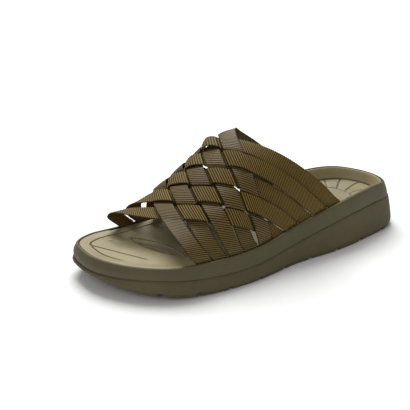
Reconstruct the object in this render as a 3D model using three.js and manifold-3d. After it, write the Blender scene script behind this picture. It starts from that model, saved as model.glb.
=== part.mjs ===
// A left-foot slide sandal: a moulded sole with ten webbing straps woven over the instep.
// Millimetres, +Z up. The toe points along -Y, the lateral (outer) side of the foot is +X.
// The origin is the middle of the sandal's footprint, on the ground.
import * as THREE from 'three';
import Module from 'manifold-3d';
import { mergeVertices } from 'three/addons/utils/BufferGeometryUtils.js';

const wasm = await Module();
wasm.setup();

// Driving dimensions of the sole.
const soleLength = 285; // along the rim, heel to toe
const ballWidth = 105; // across the rim at the ball of the foot
const lipThickness = 2.0; // rim of the midsole that stands around the footbed
const seam = 0.3; // glue line or gap between two touching pieces
const sideFlare = 4.9; // how far the tread's edge stands outside the rim
const heelFlare = 2.6; // the further flare of the side at the back of the heel
const heelFlareEnd = 0.14; // it ends this share of the length from the heel
const lowSide = 3.0; // the side stands straight where its lower part is this low ...
const highSide = 11.0; // ... and has its full flare where it is this high
const bottomChamfer = 1.2; // the tread's edge is cut back by this much ...
const bottomEdge = 3.0; // ... up to this height
const grooveStep = 0.8; // the outsole's edge stands this far outside the midsole's
const midsoleFlare = 1.8; // the midsole's edge outside the rim, at the groove
const cupWall = 2.4; // wall of the outsole around the midsole's foot
const outsoleFloor = 4.5;
const footbedThickness = 6.0;
const boardThickness = 1.6;
const heelCupDepth = 11.0;
const forefootDish = 1.2;
const cupSlopeWidth = 10.0; // width of the slope from the rim down to the foot's surface
const footbedRound = 0.9; // width of the rounding along the footbed's edge
const footbedDrop = 0.35; // the rounding ends this far below the rim
const boardClearance = 0.9; // between the board's edge and the straps that turn under it
const channelClearance = 0.6; // between the straps' ends and the end of their channel
const treadGrooveWidth = 5.0;
const treadGrooveDepth = 2.6;
const treadBars = 10;
const treadPitch = 29.3;
const treadShift = 8.6; // the middle groove lies this far behind the middle of the sole

// Driving dimensions of the webbing and of the weave.
const webbingWidth = 14.2;
const webbingThickness = 1.1;
const slotClearance = 0.45; // on each side of the webbing where it enters the sole
const rimTwist = 12.0; // over this length a strap's end turns to lie along the rim
const rimLift = 5.0; // over this length it rises from the slot to its layer in the weave
const zoneReach = 9.0; // the slots' channel runs this far past the last strap
const zoneRamp = 4.0;
const weaveClearance = 0.5; // between the mid-surface of the upper and each crossing strap
const tailLength = 11.0; // of each strap end lasted in under the board
const tailBend = 1.6; // bend radius of the tail, on the webbing's middle
const strapsPerSide = 5;
const lateralGap = 1.1; // between neighbouring straps along the lateral rim
const medialGap = 3.2;
const lateralRowMiddle = -2.0; // middle of the row of strap ends, from the middle of the rim
const medialRowMiddle = -8.0;
const frontArch = 22.5; // height of the front hoop over the rim
const rearArch = 65.5;
const archBlendFront = -60; // the arch rises from its front height here ...
const archBlendRear = 42; // ... to its rear height here
const hoopLean = 41.0; // how far the top of a hoop leans towards the toe
const leanSkew = 0.17; // a little more of the lean lies on the medial half
const ridgeShift = -14.2; // the instep's ridge lies on the medial side
const ridgeShiftSlope = -0.11;
const sideFullness = 0.32; // how much a hoop's sides stand out past an ellipse
const topFullness = 0.12; // the same for its shoulders
const lateralStrapBow = 2.7; // in-plane bow of the straps from the lateral front
const rearStrapBow = 2.3; // the further bow of the rearmost of them
const frontCrossBow = -3.7; // of the foremost strap from the medial front
const rearCrossBow = 1.3; // of the rearmost one

// Sole outline: share of the length from the heel, then the lateral and the medial
// half width as shares of the ball width.
const outlineStations = [
  [0.02, 0.172, 0.150],
  [0.10, 0.279, 0.303],
  [0.25, 0.378, 0.370],
  [0.42, 0.414, 0.338],
  [0.58, 0.505, 0.430],
  [0.72, 0.526, 0.474],
  [0.84, 0.488, 0.442],
  [0.93, 0.314, 0.423],
  [0.985, 0.084, 0.330],
];
const toeOffset = -0.095; // the tip of the toe, as a share of the ball width

// Heights over the ground along the sole: share of the length from the heel, height.
const rimStations = [
  [0, 39.5], [0.1, 43.5], [0.25, 41.3], [0.45, 30.4], [0.6, 26.4], [0.78, 26.7], [1, 27.7],
];
const grooveStations = [
  [0, 27.5], [0.1, 29.2], [0.25, 26.6], [0.45, 16.2],
  [0.6, 12.9], [0.72, 13.8], [0.88, 17.6], [1, 16.2],
];
const bottomStations = [[0, 1.6], [0.06, 0], [0.66, 0], [0.8, 2.6], [0.9, 6.6], [1, 13.2]];

const samplesPerSpan = 4;
const capDivisions = 4;
const strapStep = 9.0; // length of a facet on a strap's free stretches
const closestSections = 0.8;
const flatHalf = 0.465; // half of each crossing's flat part, as a share of the strap spacing
const edgeMargin = 0.015; // a strap in the weave stays this far inside the flat part

const clamp = (value, low, high) => Math.min(Math.max(value, low), high);

function smoothstep(from, to, value) {
  const f = clamp((value - from) / (to - from), 0, 1);
  return f * f * (3 - 2 * f);
}

// A smooth curve through [share, value] stations.
function profile(stations) {
  const last = stations.length - 1;
  const slopes = stations.map((station, i) => {
    const before = stations[Math.max(i - 1, 0)];
    const after = stations[Math.min(i + 1, last)];
    return (after[1] - before[1]) / (after[0] - before[0]);
  });
  return (share) => {
    const x = clamp(share, 0, 1);
    let i = 0;
    while (i < last - 1 && x > stations[i + 1][0]) i += 1;
    const [x0, y0] = stations[i];
    const [x1, y1] = stations[i + 1];
    const span = x1 - x0;
    const f = (x - x0) / span;
    const rise = f * f * (3 - 2 * f);
    const start = f * (1 - f) * (1 - f) * span * slopes[i];
    const end = f * f * (1 - f) * span * slopes[i + 1];
    return y0 + (y1 - y0) * rise + start - end;
  };
}

// Heights of the sole's layers at a place along it.
const shareAt = (y) => 0.5 - y / soleLength;
const rimProfile = profile(rimStations);
const grooveProfile = profile(grooveStations);
const bottomProfile = profile(bottomStations);
const rimZ = (y) => rimProfile(shareAt(y));
const grooveZ = (y) => grooveProfile(shareAt(y));
const bottomZ = (y) => Math.max(bottomProfile(shareAt(y)), 0);
const heelShare = (y) => 1 - smoothstep(0.25, 0.58, shareAt(y));
const cupDepth = (y) => forefootDish + (heelCupDepth - forefootDish) * heelShare(y);
const footSurfaceZ = (y) => rimZ(y) - cupDepth(y);
const footbedUnderside = (y) => footSurfaceZ(y) - footbedThickness;
const boardUnderside = (y) => footbedUnderside(y) - seam - boardThickness;
const pedestalZ = (y) => boardUnderside(y) - seam;
const bottomHeight = (y) => Math.min(bottomEdge, (grooveZ(y) - bottomZ(y)) / 2);
const outsoleFloorZ = (y) => Math.min(bottomZ(y) + outsoleFloor, grooveZ(y) - 1.5);

// Strap ends stand in two rows, one along each side of the sole.
const endsPerRow = 2 * strapsPerSide;
const lateralPitch = webbingWidth + lateralGap;
const medialPitch = webbingWidth + medialGap;
const lateralRow = (k) => lateralRowMiddle + (k - (endsPerRow - 1) / 2) * lateralPitch;
const medialRow = (k) => medialRowMiddle + (k - (endsPerRow - 1) / 2) * medialPitch;
const slotInset = lipThickness + slotClearance + webbingThickness / 2;
const channelInset = lipThickness + 2 * slotClearance + webbingThickness;

// The outline as samples that go from the heel along the lateral side to the toe, and
// back along the medial side. Sample i on one side pairs with sample -i on the other.
function sampleOutline() {
  const place = (share, out) => new THREE.Vector3(out * ballWidth, (0.5 - share) * soleLength, 0);
  const lateral = outlineStations.map(([share, out]) => place(share, out));
  const medial = outlineStations.map(([share, , out]) => place(share, -out));
  const heel = place(0, 0);
  const toe = place(1, toeOffset);
  const points = [heel, ...lateral, toe, ...medial.reverse()];
  const curve = new THREE.CatmullRomCurve3(points, true, 'centripetal');
  const count = points.length * samplesPerSpan;
  return Array.from({ length: count }, (unused, i) => {
    const point = curve.getPoint(i / count);
    const tangent = curve.getTangent(i / count);
    return { x: point.x, y: point.y, outX: -tangent.y, outY: tangent.x };
  });
}

const outline = sampleOutline();
const sampleCount = outline.length;

// 1 where a sample stands beside the row of strap ends, falling to 0 beyond it.
function strapZone(sample) {
  const row = sample.outX > 0 ? lateralRow : medialRow;
  const reach = webbingWidth / 2 + zoneReach;
  const front = row(0) - reach;
  const rear = row(endsPerRow - 1) + reach;
  const fromFront = smoothstep(front - zoneRamp, front, sample.y);
  return fromFront * (1 - smoothstep(rear, rear + zoneRamp, sample.y));
}

// How far the sole's side stands outside the rim at a sample. The heel flares further, and
// the side is straighter where it tapers out at the toe.
const heelExtra = (sample) => heelFlare * (1 - smoothstep(0, heelFlareEnd, shareAt(sample.y)));
const grooveOutset = (sample) => midsoleFlare + 0.6 * heelExtra(sample);

function sideOutset(sample) {
  const straight = midsoleFlare + grooveStep;
  const height = grooveZ(sample.y) - bottomZ(sample.y);
  return straight + (sideFlare - straight) * smoothstep(lowSide, highSide, height) + heelExtra(sample);
}

// One ring of points, inset from the outline (negative is outside it).
function ring(inset, height) {
  return outline.map((sample) => {
    const d = typeof inset === 'function' ? inset(sample) : inset;
    const x = sample.x - sample.outX * d;
    const y = sample.y - sample.outY * d;
    return [x, y, height(y, sample)];
  });
}

function makeGeometry(points, triangles) {
  const geometry = new THREE.BufferGeometry();
  geometry.setAttribute('position', new THREE.Float32BufferAttribute(points.flat(), 3));
  geometry.setIndex(triangles.flat());
  return geometry;
}

// A closed body through a stack of rings, with the first and the last one capped.
function loft(rings, underside, topside) {
  const points = rings.flat();
  const triangles = [];
  const quad = (a, b, c, d) => triangles.push([a, b, c], [a, c, d]);
  for (let k = 0; k < rings.length - 1; k += 1) {
    for (let i = 0; i < sampleCount; i += 1) {
      const next = (i + 1) % sampleCount;
      const low = k * sampleCount;
      const high = low + sampleCount;
      quad(low + i, high + i, high + next, low + next);
    }
  }
  const cap = (start, height, faceUp) => {
    const half = sampleCount / 2;
    const rows = [];
    for (let i = 1; i < half; i += 1) {
      const [x0, y0] = points[start + i];
      const [x1, y1] = points[start + sampleCount - i];
      const row = [start + i];
      for (let m = 1; m < capDivisions; m += 1) {
        const f = m / capDivisions;
        const y = y0 + (y1 - y0) * f;
        row.push(points.length);
        points.push([x0 + (x1 - x0) * f, y, height(y)]);
      }
      row.push(start + sampleCount - i);
      rows.push(row);
    }
    const face = (a, b, c) => triangles.push(faceUp ? [a, b, c] : [a, c, b]);
    const lastRow = rows[rows.length - 1];
    for (let m = 0; m < capDivisions; m += 1) {
      face(start, rows[0][m + 1], rows[0][m]);
      face(lastRow[m], lastRow[m + 1], start + half);
      for (let r = 0; r < rows.length - 1; r += 1) {
        face(rows[r][m], rows[r][m + 1], rows[r + 1][m + 1]);
        face(rows[r][m], rows[r + 1][m + 1], rows[r + 1][m]);
      }
    }
  };
  cap(0, underside, false);
  cap((rings.length - 1) * sampleCount, topside, true);
  return makeGeometry(points, triangles);
}

// Conversions to and from manifold-3d, which does the boolean cuts.
function toManifold(geometry) {
  const bare = geometry.clone();
  bare.deleteAttribute('normal');
  bare.deleteAttribute('uv');
  const merged = mergeVertices(bare, 1e-5);
  return new wasm.Manifold(new wasm.Mesh({
    numProp: 3,
    vertProperties: new Float32Array(merged.attributes.position.array),
    triVerts: new Uint32Array(merged.index.array),
  }));
}

function fromManifold(manifold) {
  const mesh = manifold.getMesh();
  const geometry = new THREE.BufferGeometry();
  geometry.setAttribute('position', new THREE.BufferAttribute(mesh.vertProperties, 3));
  geometry.setIndex(new THREE.BufferAttribute(mesh.triVerts, 1));
  return geometry;
}

// Outsole: a shallow rubber cup with a flared side, cut across underneath into tread bars.
function makeOutsole() {
  const wallInset = cupWall - midsoleFlare - grooveStep;
  const body = loft([
    ring((sample) => bottomChamfer - sideOutset(sample), bottomZ),
    ring((sample) => -sideOutset(sample), (y) => bottomZ(y) + bottomHeight(y)),
    ring((sample) => -grooveOutset(sample) - grooveStep, grooveZ),
    ring(wallInset, grooveZ),
    ring(wallInset, outsoleFloorZ),
  ], bottomZ, outsoleFloorZ);
  const treadFront = treadShift - (treadBars / 2 - 1) * treadPitch;
  let cut = toManifold(body);
  for (let k = 0; k < treadBars - 1; k += 1) {
    const y = treadFront + k * treadPitch;
    const height = 2 * treadGrooveDepth;
    const bar = new THREE.BoxGeometry(2 * ballWidth, treadGrooveWidth, height);
    const lowest = bottomZ(y);
    const slope = (bottomZ(y - 2) - bottomZ(y + 2)) / 4;
    bar.rotateX(-Math.atan(slope));
    bar.translate(0, y, lowest);
    cut = cut.subtract(toManifold(bar));
  }
  return fromManifold(cut);
}

// Midsole: a foam tray. Its foot stands in the outsole's cup, its lip stands around the
// footbed, and a channel along each side takes the lasted ends of the straps.
function makeMidsole() {
  const footInset = cupWall - midsoleFlare - grooveStep + seam;
  const channelEnd = slotInset + tailLength + channelClearance;
  const channelDepth = webbingThickness + seam;
  const channelZ = (y, sample) => pedestalZ(y) - channelDepth * strapZone(sample);
  const above = (height, rise) => (y) => height(y) + rise;
  return loft([
    ring(footInset, above(outsoleFloorZ, seam)),
    ring(footInset, above(grooveZ, seam)),
    ring((sample) => -grooveOutset(sample), above(grooveZ, seam)),
    ring(-0.5, above(rimZ, -1.6)),
    ring(0.1, above(rimZ, -0.4)),
    ring(lipThickness / 2, rimZ),
    ring(lipThickness - 0.3, above(rimZ, -0.2)),
    ring(lipThickness, above(rimZ, -0.7)),
    ring(lipThickness, channelZ),
    ring(channelEnd, channelZ),
    ring(channelEnd + 0.8, pedestalZ),
  ], above(outsoleFloorZ, seam), pedestalZ);
}

// Board: the thin fibre sheet under the footbed that the strap ends are lasted to.
function makeBoard() {
  const inset = channelInset + boardClearance;
  const top = (y) => boardUnderside(y) + boardThickness;
  return loft([ring(inset, boardUnderside), ring(inset, top)], boardUnderside, top);
}

// Footbed: moulded foam with a deep heel cup, set back beside the strap ends.
function makeFootbed() {
  const edge = (sample) => {
    const plain = lipThickness + seam;
    return plain + (channelInset - plain) * strapZone(sample);
  };
  const shoulder = (width) => (sample) => edge(sample) + width;
  const onSlope = (share) => (y) => rimZ(y) - footbedDrop - (cupDepth(y) - footbedDrop) * share;
  return loft([
    ring(edge, footbedUnderside),
    ring(edge, (y) => rimZ(y) - 1.0),
    ring(shoulder(footbedRound), (y) => rimZ(y) - footbedDrop),
    ring(channelInset + 0.2 * cupSlopeWidth, onSlope(0.12)),
    ring(channelInset + 0.6 * cupSlopeWidth, onSlope(0.72)),
    ring(channelInset + cupSlopeWidth, onSlope(0.97)),
  ], footbedUnderside, footSurfaceZ);
}

// The rim's x at a place along one side, on the line where the straps enter the sole.
function slotLine(side) {
  const line = outline
    .filter((sample) => Math.sign(sample.outX) === side && Math.abs(sample.outX) > 0.3)
    .map((sample) => [sample.x - sample.outX * slotInset, sample.y - sample.outY * slotInset])
    .sort((a, b) => a[1] - b[1]);
  return (y) => {
    let i = 0;
    while (i < line.length - 2 && y > line[i + 1][1]) i += 1;
    const [x0, y0] = line[i];
    const [x1, y1] = line[i + 1];
    return x0 + (x1 - x0) * (y - y0) / (y1 - y0);
  };
}
const lateralSlotX = slotLine(1);
const medialSlotX = slotLine(-1);

// The upper's surface is made of hoops. Along a hoop u goes from 0 at the lateral rim to
// 1 at the medial rim; station is the hoop's place along the sole.
function hoopPoint(u, station) {
  const angle = Math.PI * u;
  const halfSpan = (lateralSlotX(station) - medialSlotX(station)) / 2;
  const middle = (lateralSlotX(station) + medialSlotX(station)) / 2;
  const across = Math.cos(angle) * (1 + sideFullness * Math.sin(angle) ** 2);
  const upward = Math.sin(angle) * (1 + topFullness * Math.cos(angle) ** 2);
  const ridge = (ridgeShift + ridgeShiftSlope * station) * Math.sin(angle) ** 2;
  const arch = frontArch + (rearArch - frontArch) * smoothstep(archBlendFront, archBlendRear, station);
  const lean = hoopLean * 4 * u * (1 - u) * (1 + leanSkew * (u - 0.5));
  const x = middle + halfSpan * across + ridge;
  return new THREE.Vector3(x, station - lean, rimZ(station) + arch * upward);
}

// The weave is a lattice on that surface. Straps of the first set run from the lateral
// front to the medial rear and lie at whole values of a; straps of the second set run from
// the medial front to the lateral rear and lie at whole values of b.
const crossBow = (b) => frontCrossBow * clamp(2 - b, 0, 1) + rearCrossBow * clamp(b - 4, 0, 1);
const strapBow = (a) => lateralStrapBow + rearStrapBow * clamp(a - 4, 0, 1);
const firstSetStation = (a, u) => (1 - u) * lateralRow(a - 1) + u * medialRow(strapsPerSide - 1 + a)
  + strapBow(a) * 4 * u * (1 - u);
const secondSetStation = (b, u) => (1 - u) * lateralRow(strapsPerSide - 1 + b) + u * medialRow(b - 1)
  + crossBow(b) * 4 * u * (1 - u);

function hoopShare(a, b) {
  const lateral = lateralPitch * (strapsPerSide + b - a);
  const medial = medialPitch * (strapsPerSide + a - b);
  let u = lateral / (lateral + medial);
  for (let k = 0; k < 6; k += 1) {
    const gap = firstSetStation(a, u) - secondSetStation(b, u);
    const bow = 4 * (strapBow(a) - crossBow(b)) * (1 - 2 * u);
    u = clamp(u - gap / (lateral + medial + bow), 0, 1);
  }
  return u;
}

function latticePoint(a, b) {
  const u = hoopShare(a, b);
  return hoopPoint(u, firstSetStation(a, u));
}

function latticeNormal(a, b) {
  const u = clamp(hoopShare(a, b), 0.006, 0.994);
  const station = firstSetStation(a, u);
  const alongHoop = hoopPoint(u + 0.005, station).sub(hoopPoint(u - 0.005, station));
  const alongSole = hoopPoint(u, station + 0.5).sub(hoopPoint(u, station - 0.5));
  return alongSole.cross(alongHoop).normalize();
}

// Where a strap's own coordinates lie in the lattice. progress goes from -strapsPerSide
// at the lateral rim to +strapsPerSide at the medial rim, and across is 0 on the middle.
function latticePlace(set, number, progress, across) {
  if (set === 0) return [number + across, number + progress];
  return [number - progress, number + across];
}

// +1 where a strap lies over the strap that it crosses, -1 where it lies under it.
// It changes sides in the gap between two crossing straps.
function weaveSide(set, number, crossing) {
  const c = clamp(crossing, 1, strapsPerSide);
  const low = Math.min(Math.floor(c), strapsPerSide - 1);
  const firstSetOver = (low + number) % 2 === 0 ? 1 : -1;
  const side = firstSetOver * (1 - 2 * smoothstep(flatHalf, 1 - flatHalf, c - low));
  return set === 0 ? side : -side;
}

// Distances along one strap, measured on its middle from the lateral rim.
function measureStrap(set, number) {
  const steps = 400;
  const toProgress = (k) => (2 * k / steps - 1) * strapsPerSide;
  const middle = (k) => latticePoint(...latticePlace(set, number, toProgress(k), 0));
  const lengths = [0];
  for (let k = 1; k <= steps; k += 1) lengths.push(lengths[k - 1] + middle(k).distanceTo(middle(k - 1)));
  const total = lengths[steps];
  const lengthAt = (progress) => {
    const f = clamp((progress / strapsPerSide + 1) / 2 * steps, 0, steps - 1e-6);
    const k = Math.floor(f);
    return lengths[k] + (lengths[k + 1] - lengths[k]) * (f - k);
  };
  const progressAt = (length) => {
    let k = 0;
    while (k < steps - 1 && lengths[k + 1] < length) k += 1;
    return toProgress(k + (length - lengths[k]) / (lengths[k + 1] - lengths[k]));
  };
  return { total, lengthAt, progressAt };
}

// Distance between neighbouring straps of one set, square to their length.
function strapSpacing(set, number, progress) {
  const p = clamp(progress, 0.3 - strapsPerSide, strapsPerSide - 0.3);
  const at = (along, across) => latticePoint(...latticePlace(set, number, along, across));
  const forward = at(p + 0.05, 0).sub(at(p - 0.05, 0)).normalize();
  const sideways = at(p, 0.05).sub(at(p, -0.05)).multiplyScalar(10);
  return sideways.addScaledVector(forward, -sideways.dot(forward)).length();
}

// The places along a strap where it gets a cross-section: close together at the rims, at
// the edges and the middle of each crossing, and evenly on the free stretches.
function sectionLengths(set, number, { total, lengthAt }) {
  const forward = set === 0 ? 1 : -1;
  const crossings = [];
  for (let j = 1; j <= strapsPerSide; j += 1) {
    for (const part of [-flatHalf, 0, flatHalf]) crossings.push(lengthAt(forward * (j + part - number)));
  }
  const nearRim = [0.15, 0.3, 0.5, 0.75, 1].map((share) => share * rimTwist);
  const stops = [...nearRim, ...nearRim.map((d) => total - d), ...crossings, total]
    .filter((length) => length <= total)
    .sort((p, q) => p - q);
  const lengths = [0];
  for (const stop of stops) {
    const start = lengths[lengths.length - 1];
    if (stop - start < closestSections) continue;
    const steps = Math.ceil((stop - start) / strapStep);
    for (let k = 1; k <= steps; k += 1) lengths.push(start + (stop - start) * k / steps);
  }
  return lengths;
}

// One cross-section: three points on the strap's middle surface, each with its normal.
// At the rim a section lies along the rim; on the upper it lies along the crossing straps.
function upperSection(set, number, strap, length) {
  const progress = strap.progressAt(length);
  const fromRim = Math.min(length, strap.total - length);
  const rimPitch = progress < 0 ? lateralPitch : medialPitch;
  const fromRimPitch = smoothstep(0.15 * rimTwist, rimTwist, fromRim);
  const pitch = rimPitch + (strapSpacing(set, number, progress) - rimPitch) * fromRimPitch;
  const alongRim = (1 - smoothstep(0, rimTwist, fromRim)) * (set === 0 ? 1 : -1);
  const crossing = number + (set === 0 ? progress : -progress);
  const outside = Math.max(1 - crossing, crossing - strapsPerSide, 0);
  const free = webbingWidth / 2 / pitch;
  const squeezed = Math.min(free, flatHalf - edgeMargin);
  const half = squeezed + (free - squeezed) * smoothstep(0.5, 1, outside);
  const lift = (webbingThickness / 2 + weaveClearance) * smoothstep(0, rimLift, fromRim);
  return [-1, 0, 1].map((side) => {
    const across = side * half;
    const [a, b] = latticePlace(set, number, progress + across * alongRim, across);
    const normal = latticeNormal(a, b);
    const over = weaveSide(set, number, set === 0 ? b : a);
    return { point: latticePoint(a, b).addScaledVector(normal, lift * over), normal };
  });
}

// The lasted end of a strap: down the slot, round the board's edge and in under it.
// side is 1 at the lateral rim and -1 at the medial rim.
function tailSections(rimSection, side) {
  const turns = [0, 30, 60, 90].map((degrees) => THREE.MathUtils.degToRad(degrees));
  const flatZ = (y) => boardUnderside(y) - seam - webbingThickness / 2;
  const bend = turns.map((angle) => rimSection.map(({ point }) => {
    const normal = new THREE.Vector3(side * Math.cos(angle), 0, -Math.sin(angle));
    const centre = new THREE.Vector3(point.x - side * tailBend, point.y, flatZ(point.y) + tailBend);
    return { point: centre.addScaledVector(normal, tailBend), normal };
  }));
  const end = rimSection.map(({ point }) => ({
    point: new THREE.Vector3(point.x - side * tailLength, point.y, flatZ(point.y)),
    normal: new THREE.Vector3(0, 0, -1),
  }));
  return [...bend, end];
}

// A closed ribbon through a row of cross-sections.
function ribbon(sections, thickness) {
  const across = sections[0].length;
  const points = [];
  for (const face of [1, -1]) {
    for (const section of sections) {
      for (const { point, normal } of section) {
        const p = point.clone().addScaledVector(normal, face * thickness / 2);
        points.push([p.x, p.y, p.z]);
      }
    }
  }
  const under = sections.length * across;
  const triangles = [];
  const quad = (a, b, c, d) => triangles.push([a, b, c], [a, c, d]);
  for (let k = 0; k < sections.length - 1; k += 1) {
    const row = k * across;
    const next = row + across;
    for (let m = 0; m < across - 1; m += 1) {
      quad(row + m, row + m + 1, next + m + 1, next + m);
      quad(under + row + m, under + next + m, under + next + m + 1, under + row + m + 1);
    }
    quad(row, next, under + next, under + row);
    quad(row + across - 1, under + row + across - 1, under + next + across - 1, next + across - 1);
  }
  const lastRow = (sections.length - 1) * across;
  for (let m = 0; m < across - 1; m += 1) {
    quad(m, under + m, under + m + 1, m + 1);
    quad(lastRow + m, lastRow + m + 1, under + lastRow + m + 1, under + lastRow + m);
  }
  return makeGeometry(points, triangles);
}

// Turns a closed body's faces outwards if they point in.
function facingOut(geometry) {
  const position = geometry.attributes.position;
  const corners = geometry.index.array;
  const [p, q, r] = [0, 1, 2].map(() => new THREE.Vector3());
  let volume = 0;
  for (let i = 0; i < corners.length; i += 3) {
    p.fromBufferAttribute(position, corners[i]);
    q.fromBufferAttribute(position, corners[i + 1]);
    r.fromBufferAttribute(position, corners[i + 2]);
    volume += p.dot(q.cross(r));
  }
  if (volume > 0) return geometry;
  for (let i = 0; i < corners.length; i += 3) {
    const first = corners[i];
    corners[i] = corners[i + 1];
    corners[i + 1] = first;
  }
  return geometry;
}

function makeStrap(set, number) {
  const strap = measureStrap(set, number);
  const lengths = sectionLengths(set, number, strap);
  const upper = lengths.map((length) => upperSection(set, number, strap, length));
  const lateralTail = tailSections(upper[0], 1).reverse();
  const medialTail = tailSections(upper[upper.length - 1], -1);
  return facingOut(ribbon([...lateralTail, ...upper, ...medialTail], webbingThickness));
}

const rubber = { color: 0x4f4b3c, roughness: 0.8, metalness: 0 };
const midsoleFoam = { color: 0x57533f, roughness: 0.75, metalness: 0 };
const footbedFoam = { color: 0x8d8266, roughness: 0.55, metalness: 0 };
const fibreBoard = { color: 0xb8a684, roughness: 0.95, metalness: 0 };
const webbing = { color: 0x5a4a24, roughness: 0.7, metalness: 0 };

const sandal = new THREE.Group();

function addPiece(name, geometry, finish) {
  const mesh = new THREE.Mesh(geometry, new THREE.MeshStandardMaterial(finish));
  mesh.name = name;
  sandal.add(mesh);
}

addPiece('outsole', makeOutsole(), rubber);
addPiece('midsole', makeMidsole(), midsoleFoam);
addPiece('insole_board', makeBoard(), fibreBoard);
addPiece('footbed', makeFootbed(), footbedFoam);
for (let number = 1; number <= strapsPerSide; number += 1) {
  addPiece(`lateral_strap_${number}`, makeStrap(0, number), webbing);
  addPiece(`medial_strap_${number}`, makeStrap(1, number), webbing);
}

const footprint = new THREE.Box3().setFromObject(sandal);
sandal.position.set(
  -(footprint.min.x + footprint.max.x) / 2,
  -(footprint.min.y + footprint.max.y) / 2,
  -footprint.min.z,
);

export default sandal;
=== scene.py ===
"""A left-foot slide sandal: ten webbing straps woven over a moulded sole.

The visual pieces are worked out in millimetres from the same driving sizes as the CAD frame,
in the sole's own axes (toe along -Y, lateral side along +X), and are placed in metres where
the frame's box says.
"""

import math

import bpy
import numpy as np
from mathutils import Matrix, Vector


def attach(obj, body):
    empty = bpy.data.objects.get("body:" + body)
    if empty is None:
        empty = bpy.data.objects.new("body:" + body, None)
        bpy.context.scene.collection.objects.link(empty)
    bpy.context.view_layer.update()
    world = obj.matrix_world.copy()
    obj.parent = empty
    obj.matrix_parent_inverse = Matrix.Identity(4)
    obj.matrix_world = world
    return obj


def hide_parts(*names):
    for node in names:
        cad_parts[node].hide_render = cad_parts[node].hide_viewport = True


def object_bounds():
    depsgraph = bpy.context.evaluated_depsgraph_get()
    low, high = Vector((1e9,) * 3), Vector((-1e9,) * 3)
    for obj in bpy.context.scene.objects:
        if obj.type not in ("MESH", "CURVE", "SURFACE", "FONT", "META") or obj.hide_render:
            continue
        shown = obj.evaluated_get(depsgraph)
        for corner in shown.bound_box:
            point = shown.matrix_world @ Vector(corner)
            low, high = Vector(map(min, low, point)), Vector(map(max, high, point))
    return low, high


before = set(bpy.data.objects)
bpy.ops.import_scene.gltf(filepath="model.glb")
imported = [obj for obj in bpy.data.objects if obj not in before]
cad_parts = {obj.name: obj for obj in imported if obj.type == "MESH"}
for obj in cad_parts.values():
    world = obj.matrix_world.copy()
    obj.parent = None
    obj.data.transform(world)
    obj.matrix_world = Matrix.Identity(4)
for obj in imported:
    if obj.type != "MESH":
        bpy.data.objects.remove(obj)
cad_low, cad_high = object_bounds()

# Sizes of the sole, in millimetres.
SOLE_LENGTH = 285.0
BALL_WIDTH = 105.0
LIP_THICKNESS = 2.0
SEAM = 0.3
CUP_WALL = 2.4
OUTSOLE_FLOOR = 4.5
FLOOR_BELOW_GROOVE = 1.5
FOOTBED_THICKNESS = 6.0
BOARD_THICKNESS = 1.6
HEEL_CUP_DEPTH = 11.0
HEEL_CUP_REACH = (0.25, 0.58)
FOREFOOT_DISH = 1.2

# How far the sole's side stands outside the rim: at the midsole's foot, then the step out to
# the outsole's ledge, then the widest line of the outsole where the side is a tall one.
MIDSOLE_FLARE = 1.8
GROOVE_STEP = 0.8
SIDE_FLARE = 4.9
LOW_SIDE = 3.0
HIGH_SIDE = 11.0

# What the back of the heel and the tip of the toe add to the flare. The groove between
# midsole and outsole takes a part of the heel's flare.
HEEL_FLARE = 2.6
HEEL_FLARE_END = 0.14
HEEL_GROOVE_PART = 0.6
TOE_FLARE = 0.9
TOE_START = 0.9

# The tread: bars with grooves between them, counted along the sole.
TREAD_GROOVE_WIDTH = 5.0
TREAD_GROOVE_DEPTH = 2.2
TREAD_BARS = 10
TREAD_PITCH = 29.3
TREAD_SHIFT = 8.6

# Sizes of the webbing, and of the tails that are lasted in under the board.
WEBBING_WIDTH = 14.2
WEBBING_THICKNESS = 1.1
RIB_PITCH = 2.1
RIB_RELIEF = 0.3
SLOT_CLEARANCE = 0.45
SLOT_INSET = LIP_THICKNESS + SLOT_CLEARANCE + WEBBING_THICKNESS / 2
CHANNEL_INSET = LIP_THICKNESS + 2 * SLOT_CLEARANCE + WEBBING_THICKNESS
TAIL_LENGTH = 11.0
TAIL_BEND = 1.6

# The weave: the two rows of strap ends along the rims.
STRAPS = 5
LATERAL_PITCH = WEBBING_WIDTH + 1.1
MEDIAL_PITCH = WEBBING_WIDTH + 3.2
LATERAL_ROW_MIDDLE = -2.0
MEDIAL_ROW_MIDDLE = -8.0
ZONE_REACH = 9.0
ZONE_RAMP = 4.0

# Over RIM_TWIST from the rim a strap's sections turn to lie along it, and over RIM_LIFT the
# strap rises to its layer. It keeps its layer for the share PLATEAU of the way to the next
# crossing.
RIM_TWIST = 12.0
RIM_LIFT = 5.0
PLATEAU = 0.42
WEAVE_LIFT = 1.15
WEAVE_PILLOW = 1.0

# How high a strap bulges over another one, in shares of WEAVE_LIFT, where that isn't
# WEAVE_PILLOW. The keys are the numbers of the lateral strap and of the medial strap.
LOOSE_CROSSINGS = {(5, 5): 0.0, (4, 5): 3.4, (5, 4): 1.7, (3, 4): 1.6, (3, 3): 0.7, (4, 4): 0.5}

# Sole outline: share of the length from the heel, then the lateral and the medial half
# width as shares of the ball width.
OUTLINE = [
    (0.02, 0.172, 0.150),
    (0.10, 0.279, 0.303),
    (0.25, 0.378, 0.370),
    (0.42, 0.414, 0.338),
    (0.58, 0.505, 0.430),
    (0.72, 0.526, 0.474),
    (0.84, 0.488, 0.442),
    (0.93, 0.314, 0.423),
    (0.985, 0.084, 0.330),
]
TOE_OFFSET = -0.095

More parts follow.
